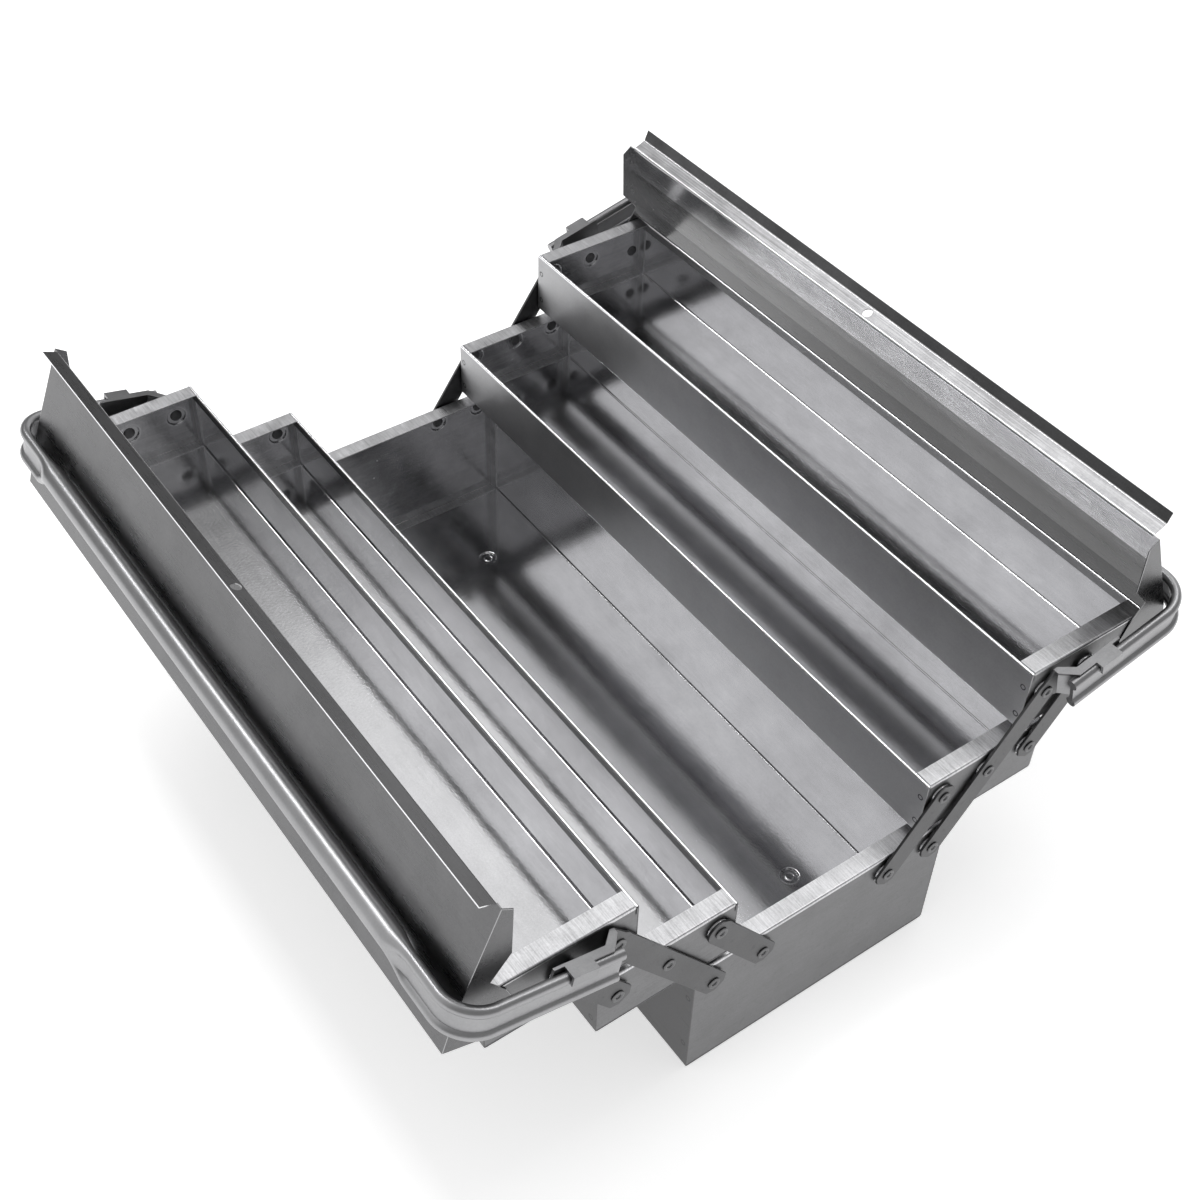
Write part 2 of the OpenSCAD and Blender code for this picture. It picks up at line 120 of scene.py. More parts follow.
LONG_0 = (BASE_W / 2 - RIVET_INSET, BASE_H - RIVET_DROP)
LONG_1 = step_up(LONG_0)
LONG_2 = step_up(LONG_1)
INNER_0 = (LONG_0[0] - INNER_STEP, LONG_0[1])
INNER_1 = step_up(INNER_0)
OUTER_1 = (LONG_1[0] + OUTER_STEP, LONG_1[1])
OUTER_2 = step_up(OUTER_1)
LID_AT = (UPPER_IN + TRAY_W - LID_PIVOT_INSET, UPPER_Z + LID_PIVOT_UP)

# Lid outline when closed, as distances from the lid rivet.
ROOF_Z = UPPER_TRAY_H - LID_PIVOT_UP + ROOF_RISE
CREST_Z = ROOF_Z + CREST_H
FREE_Y = -(TRAY_W + CENTRE_GAP / 2 - LID_PIVOT_INSET - CREST_GAP / 2)
EDGE_Y = LID_PIVOT_INSET + EDGE_OVERHANG
EDGE_Z = ROOF_Z - SLOPE_W * math.sin(SLOPE_ANGLE)
HIP_Y = EDGE_Y - SLOPE_W * math.cos(SLOPE_ANGLE)

# Reach of the grip along the leg, clear of the open lid's roof, to a tenth.
ROOF_TURN = LID_SWING + LEG_TILT
PIVOT_OFF = math.sin(LID_SWING) * (LONG_2[0] - LID_AT[0]) + math.cos(LID_SWING) * (LONG_2[1] - LID_AT[1])
GRIP_OFF = ROOF_Z + GRIP_D / 2 + GRIP_GAP - PIVOT_OFF
GRIP_REACH = round((GRIP_OFF - (LEG_RISE + GRIP_UP) * math.cos(ROOF_TURN)) / math.sin(ROOF_TURN), 1)

# Levels along the box, from the tubs' ends outward.
BOSS_H = LID_SIDE_GAP + LID_T
LINK_X = END_X + BOSS_H + SIDE_PLAY
HEAD_X = LINK_X + LINK_T + SIDE_PLAY
CHEEK_X = END_X + LID_SIDE_GAP
LID_HEAD_X = CHEEK_X + LID_T + SIDE_PLAY
PRESSING_R = BOSS_D / 2 + PRESSING_EDGE

SIDES = (("front", -1), ("rear", 1))
ENDS = (("right", 1), ("left", -1))
TRAY_ROWS = (
    ("lower", LOWER_IN, LOWER_Z, LOWER_TRAY_H, (INNER_1, LONG_1, OUTER_1)),
    ("upper", UPPER_IN, UPPER_Z, UPPER_TRAY_H, (LONG_2, OUTER_2)),
)
BASE_ROOM = (-BASE_W / 2, BASE_W, FOOT_H, BASE_H - FOOT_H)


def trays(side):
    """Level, room (near edge, width, underside, height) and rivets of each tray on one side."""
    for level, inner, z0, height, spots in TRAY_ROWS:
        y0 = inner if side > 0 else -inner - TRAY_W
        yield level, (y0, TRAY_W, z0, height), spots


# Node building.

# The Mix node's sockets for colours, whose names its other sockets have too.
MIX_LOW, MIX_HIGH, MIX_OUT = 6, 7, 2
# The Random Value node's sockets for plain numbers.
RANDOM_MAX, RANDOM_OUT = 3, 1


class Value:
    """A node's output that takes part in ordinary arithmetic."""

    def __init__(self, graph, socket):
        self.graph = graph
        self.socket = socket

    def _math(self, operation, first, second):
        return self.graph.node("ShaderNodeMath", {"operation": operation}, {0: first, 1: second})

    def __add__(self, other):
        return self._math("ADD", self, other)

    __radd__ = __add__

    def __mul__(self, other):
        return self._math("MULTIPLY", self, other)

    __rmul__ = __mul__

    def __sub__(self, other):
        return self._math("SUBTRACT", self, other)

    def __rsub__(self, other):
        return self._math("SUBTRACT", other, self)

    def highest(self, other):
        return self._math("MAXIMUM", self, other)

    def over(self, low, high, start=0.0, end=1.0, ease="LINEAR"):
        """Goes from start to end while the value goes from low to high, and stays level past them."""
        inputs = {"Value": self, "From Min": low, "From Max": high, "To Min": start, "To Max": end}
        return self.graph.node("ShaderNodeMapRange", {"clamp": True, "interpolation_type": ease}, inputs)


class Graph:
    """A node tree under construction."""

    def __init__(self, tree):
        self.tree = tree

    def fill(self, made, inputs):
        """Gives a node's sockets their values or links."""
        for key, value in inputs.items():
            if isinstance(value, Value):
                self.tree.links.new(value.socket, made.inputs[key])
            else:
                made.inputs[key].default_value = value

    def node(self, kind, settings, inputs, output=0):
        """Adds a node and gives one of its outputs."""
        made = self.tree.nodes.new(kind)
        for key, setting in settings.items():
            setattr(made, key, setting)
        self.fill(made, inputs)
        return Value(self, made.outputs[output])

    def readings(self, kind, *outputs):
        """Adds a node that takes nothing in and gives several of its outputs."""
        made = self.tree.nodes.new(kind)
        return [Value(self, made.outputs[output]) for output in outputs]


class Finish(Graph):
    """One material under construction."""

    def __init__(self, name):
        self.material = bpy.data.materials.new(name)
        self.material.use_nodes = True
        super().__init__(self.material.node_tree)
        self.place = self.node("ShaderNodeTexCoord", {}, {}, "Object")

    def stretched(self, scale):
        """The object's own coordinates, multiplied along each axis."""
        return self.node("ShaderNodeMapping", {}, {"Vector": self.place, "Scale": scale})

    def noise(self, scale, detail=2.0, rough=0.5, at=None):
        """Cloudy numbers around a half, with so many patches to a metre."""
        inputs = {"Vector": at or self.place, "Scale": scale, "Detail": detail, "Roughness": rough}
        return self.node("ShaderNodeTexNoise", {}, inputs)

    def blend(self, amount, low, high):
        """A colour between two colours."""
        ends = {"Factor": amount, MIX_LOW: low, MIX_HIGH: high}
        return self.node("ShaderNodeMix", {"data_type": "RGBA"}, ends, MIX_OUT)

    def bump(self, height, distance, normal=None):
        """A surface raised by so many metres, over another raised surface where one is given."""
        inputs = {"Height": height, "Distance": distance, "Strength": 1.0}
        if normal:
            inputs["Normal"] = normal
        return self.node("ShaderNodeBump", {}, inputs)


# Plated steel. Patches to a metre of each pattern, and its share of the tone.
CLOUDS, MOTTLE, GRIT, PEEL_WAVES = 11.0, 48.0, 850.0, 520.0
SCUFF_STRETCH, SCUFF_FROM, SCUFF_TO = (40.0, 260.0, 260.0), 0.62, 0.72
CLOUD_AND_GRAIN_SHARE, MOTTLE_SHARE, GRIT_SHARE = 0.5, 0.3, 0.2
DARK_BELOW, BRIGHT_ABOVE = 0.38, 0.64


def grey(level):
    """A neutral grey with a trace of blue."""
    return (level, level, level * 1.02, 1.0)


def plated_steel(name, tone, rough, peel, grain, grain_depth, grain_share=0.15):
    """Rolled and plated sheet: cloudy tone, a drawn grain and the fine waviness of a dipped coat.

    tone is its darkest and brightest grey, rough its roughness and how far that varies, peel and
    grain_depth are heights in metres, and grain is the patches to a metre along each axis.
    """
    f = Finish(name)
    cloud = f.noise(CLOUDS, 3.0)
    mottle = f.noise(MOTTLE, 4.0, 0.6)
    drawn = f.noise(1.0, 3.0, 0.6, f.stretched(grain))
    grit = f.noise(GRIT, 2.0, 0.6)
    scuffs = f.noise(1.0, 2.0, 0.5, f.stretched(SCUFF_STRETCH)).over(SCUFF_FROM, SCUFF_TO)
    cloudy = cloud * (CLOUD_AND_GRAIN_SHARE - grain_share) + mottle * MOTTLE_SHARE
    shade = (cloudy + grit * GRIT_SHARE + drawn * grain_share).over(DARK_BELOW, BRIGHT_ABOVE)
    level, spread = rough
    roughness = level + (mottle - 0.5) * spread + (drawn - 0.5) * spread + scuffs * (spread * 0.5)
    waves = f.noise(PEEL_WAVES, 2.0, 0.5)
    surface = f.bump(drawn, grain_depth, f.bump(waves, peel))
    colour = f.blend(shade, grey(tone[0]), grey(tone[1]))
    looks = {"Base Color": colour, "Metallic": 1.0, "Roughness": roughness, "Normal": surface}
    f.fill(f.tree.nodes["Principled BSDF"], looks)
    return f.material


# Grain, as patches to a metre along each axis: few along the grain and many across it.
LONG_GRAIN, LID_GRAIN, ROUND_GRAIN = (60.0, 900.0, 900.0), (30.0, 500.0, 500.0), (300.0, 300.0, 300.0)
INSIDE_GRAIN, END_INSIDE_GRAIN = (30.0, 420.0, 420.0), (420.0, 30.0, 420.0)
END_GRAIN, SHELF_GRAIN = (900.0, 60.0, 900.0), (60.0, 1500.0, 60.0)
CREST_GRAIN, LINK_GRAIN, TUBE_GRAIN = (12.0, 900.0, 900.0), (500.0, 120.0, 120.0), (20.0, 500.0, 500.0)

bright_inside = plated_steel("plated_inside", (0.59, 0.74), (0.13, 0.06), 3.0e-5, INSIDE_GRAIN, 1e-6)
end_inside = plated_steel("end_inside", (0.40, 0.74), (0.19, 0.12), 5.0e-5, END_INSIDE_GRAIN, 2e-6)
# Lit and shaded copies of one outer finish. The rear trays' outer faces get this lighter painted tone,
# standing in for the bright interior they mirror.
rear_outside_painted_light = plated_steel("rear_outside_painted_light", (0.34, 0.44), (0.42, 0.14), 4.0e-5, LONG_GRAIN, 6e-6)
# Painted shade: the front trays' and the base's outer faces get a much darker tone, standing in for the
# shaded ground they mirror.
front_outside_painted_shade = plated_steel("front_outside_painted_shade", (0.09, 0.14), (0.40, 0.14), 2.0e-5, LONG_GRAIN, 7e-6, 0.3)
# Painted shade: the outer faces of the end plates, bosses and feet are made darker than the same sheet
# inside, standing in for the dark surroundings they mirror.
end_outside_painted_shade = plated_steel("end_outside_painted_shade", (0.16, 0.24), (0.42, 0.14), 2.0e-5, END_GRAIN, 7e-6, 0.3)
brushed_shelf = plated_steel("brushed_shelf", (0.46, 0.78), (0.34, 0.20), 4e-6, SHELF_GRAIN, 2.4e-5, 0.5)
# Painted highlight: a near-white tone along the tubs' rims and the lids' sheet edges.
rim_painted_highlight = plated_steel("rim_painted_highlight", (0.84, 0.95), (0.24, 0.10), 4e-6, LONG_GRAIN, 4e-6)
lid_inside = plated_steel("lid_inside", (0.32, 0.42), (0.24, 0.08), 5e-6, LID_GRAIN, 2e-6)
# Painted reflection: a near-black tone on the inner face next to the hinge, standing in for the dark ground
# it mirrors.
lid_dull = plated_steel("lid_dull", (0.055, 0.095), (0.26, 0.10), 1.5e-5, LID_GRAIN, 2e-6)
# Painted shade: the lids' outer faces and cheeks get a dark tone, standing in for the dark surroundings they
# mirror.
lid_skin = plated_steel("lid_skin", (0.12, 0.165), (0.28, 0.08), 1.0e-5, LID_GRAIN, 2e-6)
# Painted highlight: a bright tone with long streaks on the rear lid's crest, standing in for the sky it
# mirrors.
crest_painted_highlight = plated_steel("crest_painted_highlight", (0.44, 0.74), (0.20, 0.10), 4e-6, CREST_GRAIN, 3e-6, 0.55)
# Painted shade: a near-black tone on the inner face of the rear lid's lip.
lip_painted_shade = plated_steel("lip_painted_shade", (0.07, 0.12), (0.34, 0.12), 8e-6, LID_GRAIN, 3e-6)
link_strip = plated_steel("link_strip", (0.09, 0.15), (0.40, 0.16), 9e-6, LINK_GRAIN, 6e-6)
# Painted light: the clip, folded from the link plate, gets a lighter tone than the rest of that plate.
clip_painted_light = plated_steel("clip_painted_light", (0.24, 0.34), (0.34, 0.12), 9e-6, LINK_GRAIN, 6e-6)
weld_mark = plated_steel("weld_mark", (0.03, 0.09), (0.40, 0.20), 6e-6, ROUND_GRAIN, 6e-6)
rivet_steel = plated_steel("rivet_steel", (0.10, 0.22), (0.36, 0.20), 8e-6, ROUND_GRAIN, 6e-6)
handle_tube = plated_steel("handle_tube", (0.29, 0.37), (0.34, 0.06), 1e-6, TUBE_GRAIN, 1e-6)
# Pressings: the plated inside tone, and the painted shade of the end plates' outer side.
PRESSED = [bright_inside, end_outside_painted_shade]


# Mesh building. Everything is drawn in millimetres and stored in metres.


def bent_line(points, radii, steps=6, support=0.3):
    """A flat line through the points with each inner corner rounded to its radius."""
    line = [Vector(points[0])]

    def add(point):
        if (point - line[-1]).length > SHORTEST_STEP:
            line.append(point)

    for before, corner, after, radius in zip(points, points[1:], points[2:], radii):
        corner = Vector(corner)
        come = (corner - Vector(before)).normalized()
        go = (Vector(after) - corner).normalized()
        turn = math.atan2(come.x * go.y - come.y * go.x, come.dot(go))
        reach = radius * math.tan(abs(turn) / 2)
        start = corner - come * reach
        side = 1 if turn > 0 else -1
        centre = start + Vector((-come.y, come.x)) * radius * side
        if (start - line[-1]).length > 2 * support:
            add(start - come * support)
        for step in range(steps + 1):
            swing = Matrix.Rotation(turn * step / steps, 2)
            add(centre + swing @ (start - centre))
        if (Vector(after) - line[-1]).length > 4 * support:
            add(line[-1] + go * support)
    add(Vector(points[-1]))
    return line


def sheet_sides(line, thickness):
    """The two faces of a sheet whose middle is the line: (left side, right side)."""
    left, right = [], []
    for k, point in enumerate(line):
        come = (point - line[k - 1]).normalized() if k else (line[1] - point).normalized()
        go = (line[k + 1] - point).normalized() if k + 1 < len(line) else come
        normal = Vector((-(come.y + go.y), come.x + go.x)).normalized()
        shift = normal * thickness / 2 / max(MITRE_LIMIT, normal.dot(Vector((-come.y, come.x))))
        left.append(point + shift)
        right.append(point - shift)
    return left, right


def along_x(u, v, w):
    """A profile drawn across the box and swept along it."""
    return Vector((w, u, v))


def sweep_sheet(bm, line, thickness, place, low, high, slots=(0, 1, 0), special=None):
    """Sweeps a bent sheet between two ends. slots are the finishes of its left, its right and its rim.

    special takes the middle of a strip and the finish that it would have, and may give another.
    """
    left, right = sheet_sides(line, thickness)
    loop = left + right[::-1]
    rings = [[bm.verts.new(place(p.x, p.y, w)) for p in loop] for w in (low, high)]
    count, half = len(loop), len(left)
    for k in range(count):
        n = (k + 1) % count
        face = bm.faces.new((rings[0][k], rings[0][n], rings[1][n], rings[1][k]))
        face.smooth = True
        if k in (half - 1, count - 1):
            slot = slots[2]
        else:
            slot = slots[0] if k < half else slots[1]
        face.material_index = special((loop[k] + loop[n]) / 2, slot) if special else slot
    for ring in rings:
        bm.faces.new(ring).material_index = slots[2]


def turned(bm, profile, steps=ROUND_STEPS, slots=None):
    """Turns a profile of (distance along X, radius) about the X axis, and gives its corners."""
    angles = [2 * math.pi * k / steps for k in range(steps)]
    rings = []
    for x, r in profile:
        around = angles if r else angles[:1]
        rings.append([bm.verts.new((x, r * math.cos(a), r * math.sin(a))) for a in around])
    for index, (one, two) in enumerate(zip(rings, rings[1:])):
        for k in range(steps):
            n = (k + 1) % steps
            corners = [one[k % len(one)], one[n % len(one)], two[n % len(two)], two[k % len(two)]]
            corners = list(dict.fromkeys(corners))
            if len(corners) > 2:
                face = bm.faces.new(corners)
                face.smooth = True
                face.material_index = slots[index] if slots else 0
    return [corner for ring in rings for corner in ring]


def sharpen(bm, angle=35.0):
    """Keeps crisp the edges that turn by more than the angle."""
    for edge in bm.edges:
        if len(edge.link_faces) == 2:
            edge.smooth = edge.calc_face_angle(0.0) < math.radians(angle)


def ease_edges(bm, edges, width, steps):
    """Rounds edges over."""
    bmesh.ops.bevel(
        bm, geom=edges, offset=width, segments=steps, profile=0.5, affect="EDGES", clamp_overlap=True
    )


def piece_from(bm, name, materials, scale=MM, clean=True):
    """Turns a drawing in millimetres into a finished object that sits at the origin."""
    if clean:
        bmesh.ops.remove_doubles(bm, verts=bm.verts, dist=1e-4)
    bmesh.ops.scale(bm, vec=(scale, scale, scale), verts=bm.verts)
    bmesh.ops.recalc_face_normals(bm, faces=bm.faces)
    sharpen(bm)
    mesh = bpy.data.meshes.new(name)
    bm.to_mesh(mesh)
    bm.free()
    for material in materials:
        mesh.materials.append(material)
    obj = bpy.data.objects.new(name, mesh)
    bpy.context.scene.collection.objects.link(obj)
    return obj


def flatten(obj):
    """Applies every modifier of a piece."""
    bpy.context.view_layer.update()
    shape = bpy.data.meshes.new_from_object(obj.evaluated_get(bpy.context.evaluated_depsgraph_get()))
    obj.modifiers.clear()
    obj.data = shape


def punch(obj, radius, places):
    """Cuts round holes through a piece. Each place is (centre, axis)."""
    bm = bmesh.new()
    ends = -PUNCH_REACH, PUNCH_REACH
    for centre, axis in places:
        made = turned(bm, [(ends[0], 0), (ends[0], radius), (ends[1], radius), (ends[1], 0)])
        swing = Vector((1, 0, 0)).rotation_difference(Vector(axis)).to_matrix()
        bmesh.ops.rotate(bm, matrix=swing, verts=made)
        bmesh.ops.translate(bm, vec=Vector(centre), verts=made)
    cutter = piece_from(bm, "punches", [])
    knife = obj.modifiers.new("punch", "BOOLEAN")
    knife.operation = "DIFFERENCE"
    knife.solver = "EXACT"
    knife.object = cutter
    flatten(obj)
    bpy.data.objects.remove(cutter)
    bm = bmesh.new()
    bm.from_mesh(obj.data)
    sharpen(bm)
    bm.to_mesh(obj.data)
    bm.free()


def join(obj, other):
    """Adds another piece with the same materials to a piece."""
    bm = bmesh.new()
    for part in (obj, other):
        bm.from_mesh(part.data)
    bm.to_mesh(obj.data)
    bm.free()
    bpy.data.objects.remove(other)


def settle(obj, body, slot, *nodes):
    """Makes a piece ride on its body in place of the plain solids that it stands for."""
    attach(obj, body)
    if nodes:
        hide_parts(*nodes)


def tub(name, body, room, outside, feet=()):
    """One bent sheet: floor, long walls and the hems folded inside their rims."""
    y0, width, z0, height = room
    wall = SHEET / 2
    hem = SHEET + HEM_T - SHEET / 2
    y1, top, bottom, hem_z = y0 + width, z0 + height - wall, z0 + wall, z0 + height - HEM_H
    points = [
        (y0 + hem, hem_z), (y0 + hem, top), (y0 + wall, top), (y0 + wall, bottom),
        (y1 - wall, bottom), (y1 - wall, top), (y1 - hem, top), (y1 - hem, hem_z),
    ]
    fold = (hem - wall) / 2
    line = bent_line(points, [fold, fold, FLOOR_BEND, FLOOR_BEND, fold, fold])
    rim_z = z0 + height - RIM_DEPTH

    def painted_highlight_above(at, slot):
        """The rims get a painted highlight: a near-white tone along their tops."""
        return 2 if at.y > rim_z else slot

    bm = bmesh.new()
    sweep_sheet(bm, line, SHEET, along_x, -END_X, END_X, (0, 1, 1), painted_highlight_above)
    obj = piece_from(bm, name + "_sheet", [bright_inside, outside, rim_painted_highlight])
    if feet:
        punch(obj, PRESSING_R, [((x, y, FOOT_H), (0, 0, 1)) for x, y in feet])
    settle(obj, body, "tubs", name)


def end_plate(name, body, room, bossed, end):
    """Plate across a tub's end, with its top shelf and welding flanges."""
    y0, width, z0, height = room
    wall = SHEET / 2
    face, flange_x = END_X - wall, END_X - WELD_FLANGE
    bottom, top = z0 + SHEET + wall, z0 + height - wall
    inner_y, outer_y = y0 + SHEET, y0 + width - SHEET

    def upright(u, v, w):
        """A profile drawn in the plane of length and height and swept across the box."""
        return Vector((u * end, w, v))

    def in_plan(u, v, w):
        """A profile drawn in plan and swept upward."""
        return Vector((u * end, v, w))

    def on_floor(at, slot):
        """The flange on the floor is brushed on top."""
        return 2 if at.x < face - FLANGE_END_GAP and slot == 0 else slot

    finishes = [end_inside, end_outside_painted_shade, brushed_shelf]
    bm = bmesh.new()
    section = bent_line([(flange_x, bottom), (face, bottom), (face, top - SHELF_FOLD_H)], [FLANGE_BEND])
    sweep_sheet(bm, section, SHEET, upright, inner_y, outer_y, special=on_floor)
    plate = piece_from(bm, name + "_plate", finishes)
    punch(plate, PRESSING_R, [((end * face, y, z), (1, 0, 0)) for y, z in bossed])
    bm = bmesh.new()
    shelf = bent_line([(face, top - SHELF_FOLD_H), (face, top), (END_X - SHELF_W, top)], [SHELF_BEND])
    sweep_sheet(bm, shelf, SHEET, upright, inner_y + HEM_T, outer_y - HEM_T, (2, 2, 2))
    for wall_y in (inner_y + wall, outer_y - wall):
        side = [Vector((flange_x, wall_y)), Vector((END_X - SHEET, wall_y))]
        sweep_sheet(bm, side, SHEET, in_plan, z0 + 2 * SHEET, z0 + height - HEM_H, (2, 2, 2))
    join(plate, piece_from(bm, name + "_folds", finishes, clean=False))
    settle(plate, body, "end_plates", name)


def lid(name, body, side, lipped):
    """One folded sheet: sloping strip, roof and crest, with a cheek folded down at each end."""
    half = LID_T / 2
    swing = -LID_SWING
    roof = ROOF_Z - half
    edge = (EDGE_Y - half * math.sin(SLOPE_ANGLE), EDGE_Z - half * math.cos(SLOPE_ANGLE))
    back = [edge, (HIP_Y, roof), (-PAINTED_DARK_RUN, roof)]
    crest = [(FREE_Y + half, roof), (FREE_Y + half, CREST_Z)]
    bends = [HIP_BEND, 0.0, CREST_BEND]
    if lipped:
        lip_y, lip_z = LIP_W * math.cos(LIP_TURN), LIP_W * math.sin(LIP_TURN)
        crest.append((FREE_Y + half - lip_y, CREST_Z + lip_z))
        bends.append(CREST_BEND)

    def opened(y, z):
        """Where a point of the closed lid lies on the open one."""
        turned_y = y * math.cos(swing) - z * math.sin(swing)
        turned_z = y * math.sin(swing) + z * math.cos(swing)
        return side * (LID_AT[0] + turned_y), LID_AT[1] + turned_z

    def place(u, v, w):
        """A profile of the closed lid, swept along the open one."""
        return Vector((w, *opened(u, v)))

    def finish_at(at, slot):
        """The outer side keeps its finish. On the inner one, the crest and the lip take painted tones, and
        the stretch next to the hinge a painted dark reflection.
        """
        if slot:
            return slot
        if at.y > CREST_Z + LIP_START:
            return 3
        if at.y > ROOF_Z:
            return 2
        return 4 if at.x > -PAINTED_DARK_RUN else 0

    # Lid finishes by slot: inside, skin, crest (painted highlight on the rear lid, the skin's painted shade
    # on the front one), lip painted shade, hinge-side painted dark reflection, and painted highlight on the
    # sheet edges.
    finishes = [lid_inside, lid_skin, crest_painted_highlight if lipped else lid_skin, lip_painted_shade, lid_dull, rim_painted_highlight]
    crest_x = CHEEK_X - CREST_SETBACK
    bm = bmesh.new()
    line = bent_line(back + crest, bends)
    sweep_sheet(bm, line, LID_T, place, -crest_x, crest_x, (0, 1, 5), finish_at)
    sheet = piece_from(bm, name + "_sheet", finishes)
    hole_y, hole_z = opened(FREE_Y + half, ROOF_Z + CREST_H / 2)
    punch(sheet, LOCK_HOLE_D / 2, [((0, hole_y, hole_z), (0, side * math.cos(swing), math.sin(swing)))])

    cheek = [
        (FREE_Y, ROOF_Z), (HIP_Y, ROOF_Z), (EDGE_Y, EDGE_Z), (EDGE_Y - EAR_LEAN, -EAR_DROP),
        (-EAR_IN, -EAR_DROP), (-EAR_CORNER_AT, EAR_CORNER_UP), (-NOTCH_AT, ROOF_Z - NOTCH),
        (FREE_Y + BELLY_AT, ROOF_Z - BELLY), (FREE_Y + NOSE_LEAN, ROOF_Z - NOSE),
    ]
    count = len(cheek)
    end_line = bent_line(back + [(FREE_Y, roof)], [HIP_BEND, 0.0])
    bm = bmesh.new()
    for end in (-1, 1):
        low, high = sorted((end * crest_x, end * CHEEK_X))
        sweep_sheet(bm, end_line, LID_T, place, low, high, (0, 1, 0), finish_at)
        inner = [bm.verts.new(place(y, z, end * CHEEK_X)) for y, z in cheek]
        outer = [bm.verts.new(place(y, z, end * (CHEEK_X + LID_T))) for y, z in cheek]
        bm.faces.new(inner).material_index = 0
        face = bm.faces.new(outer)
        face.material_index = 1
        for k in range(count):
            n = (k + 1) % count
            bm.faces.new((inner[k], inner[n], outer[n], outer[k])).material_index = 1
        ease_edges(bm, list(face.edges), CHEEK_EASE, 3)
    join(sheet, piece_from(bm, name + "_ends", finishes, clean=False))
    cheeks = [name.replace("lid", "lid_cheek") + "_" + word for word, _ in ENDS]
    settle(sheet, body, "lids", name, name.replace("lid", "lid_crest"), *cheeks)


def pressing_mesh(name, line):
    """A round pressed patch of sheet, drawn about the X axis."""
    bm = bmesh.new()
    left, right = sheet_sides(line, SHEET)
    loop = left + right[::-1] + left[:1]
    slots = [1] * len(left) + [0] * (len(right) - 1) + [1]
    turned(bm, [(p.x, p.y) for p in loop], ROUND_STEPS, slots)
    return piece_from(bm, name, PRESSED)


def rivet_mesh(name, inner_x, outer_x):
    """A semi-tubular rivet: low domed head inside, rolled hollow end outside."""
    tip = outer_x + HEAD_T
    low = inner_x - HEAD_T
    profile = [
        (low, 0.0), (low, 2.6), (low + 0.12, 3.5), (low + 0.45, 4.1), (inner_x, HEAD_R),
        (inner_x, RIVET_D / 2), (outer_x, RIVET_D / 2),
        (outer_x, HEAD_R - 0.3), (outer_x + 0.3, HEAD_R), (outer_x + 0.7, HEAD_R - 0.15),
        (tip - 0.04, HEAD_R - 0.7), (tip, HEAD_R - 1.3), (tip - 0.1, HEAD_R - 1.9),
        (tip - 0.35, 1.9), (tip - 0.8, 1.7), (tip - 0.85, 1.2), (tip - 0.8, 0.0),
    ]
    bm = bmesh.new()
    turned(bm, [(x - inner_x, r) for x, r in profile], RIVET_STEPS)
    return piece_from(bm, name, [rivet_steel])


def scatter_tree():
    """Sets one pressed or turned thing at every point, facing the way that the point says."""
    tree = bpy.data.node_groups.new("set_at_points", "GeometryNodeTree")
    inputs = {"Geometry": "Geometry", "Thing": "Object", "Finish": "Material"}
    inputs.update({"Roll": "Float", "Keep finish": "Bool"})
    for name, kind in inputs.items():
        tree.interface.new_socket(name, in_out="INPUT", socket_type="NodeSocket" + kind)
    tree.interface.new_socket("Geometry", in_out="OUTPUT", socket_type="NodeSocketGeometry")
    g = Graph(tree)
    points, thing, finish, roll, keep = g.readings("NodeGroupInput", *inputs)
    shape = g.node("GeometryNodeObjectInfo", {}, {"Object": thing}, "Geometry")
    named = {"data_type": "FLOAT_VECTOR"}
    facing = g.node("GeometryNodeInputNamedAttribute", named, {"Name": "facing"}, "Attribute")
    angle = g.node("FunctionNodeRandomValue", {}, {"Seed": 7, RANDOM_MAX: roll}, RANDOM_OUT)
    about_own_axis = {"rotation_type": "AXIS_ANGLE", "space": "LOCAL"}
    pose = {"Axis": (1, 0, 0), "Rotation": facing, "Angle": angle}
    turn = g.node("FunctionNodeRotateEuler", about_own_axis, pose, "Rotation")
    set_down = {"Points": points, "Instance": shape, "Rotation": turn}
    copies = g.node("GeometryNodeInstanceOnPoints", {}, set_down, "Instances")
    real = g.node("GeometryNodeRealizeInstances", {}, {"Geometry": copies}, "Geometry")
    plain = g.node("GeometryNodeSetMaterial", {}, {"Geometry": real, "Material": finish}, "Geometry")
    either = {"Switch": keep, "False": plain, "True": real}
    chosen = g.node("GeometryNodeSwitch", {}, either, "Output")
    g.fill(tree.nodes.new("NodeGroupOutput"), {"Geometry": chosen})
    return tree


SCATTER = scatter_tree()


def set_out(name, thing, places, materials, roll=0.0):
    """Copies of a thing at (position in mm, facing), made into one plain mesh."""
    mesh = bpy.data.meshes.new(name)
    mesh.from_pydata([Vector(p) * MM for p, _ in places], [], [])
    facing = mesh.attributes.new("facing", "FLOAT_VECTOR", "POINT")
    for k, (_, turn) in enumerate(places):
        facing.data[k].vector = turn
    obj = bpy.data.objects.new(name, mesh)
    bpy.context.scene.collection.objects.link(obj)
    nodes = obj.modifiers.new("set out", "NODES")
    nodes.node_group = SCATTER
    sockets = {item.name: item.identifier for item in SCATTER.interface.items_tree if item.in_out == "INPUT"}
    nodes[sockets["Thing"]] = thing
    nodes[sockets["Finish"]] = materials[0]
    nodes[sockets["Roll"]] = roll
    nodes[sockets["Keep finish"]] = len(materials) > 1
    flatten(obj)
    if len(materials) > 1:
        obj.data.materials.clear()
        for material in materials:
            obj.data.materials.append(material)
    return obj


# Which way a thing that was drawn about the X axis faces when it is set out.
RIGHT, LEFT, DOWN = (0.0, 0.0, 0.0), (0.0, 0.0, math.pi), (0.0, math.radians(90), 0.0)
REARWARD, FORWARD = (0.0, 0.0, math.pi / 2), (0.0, 0.0, -math.pi / 2)


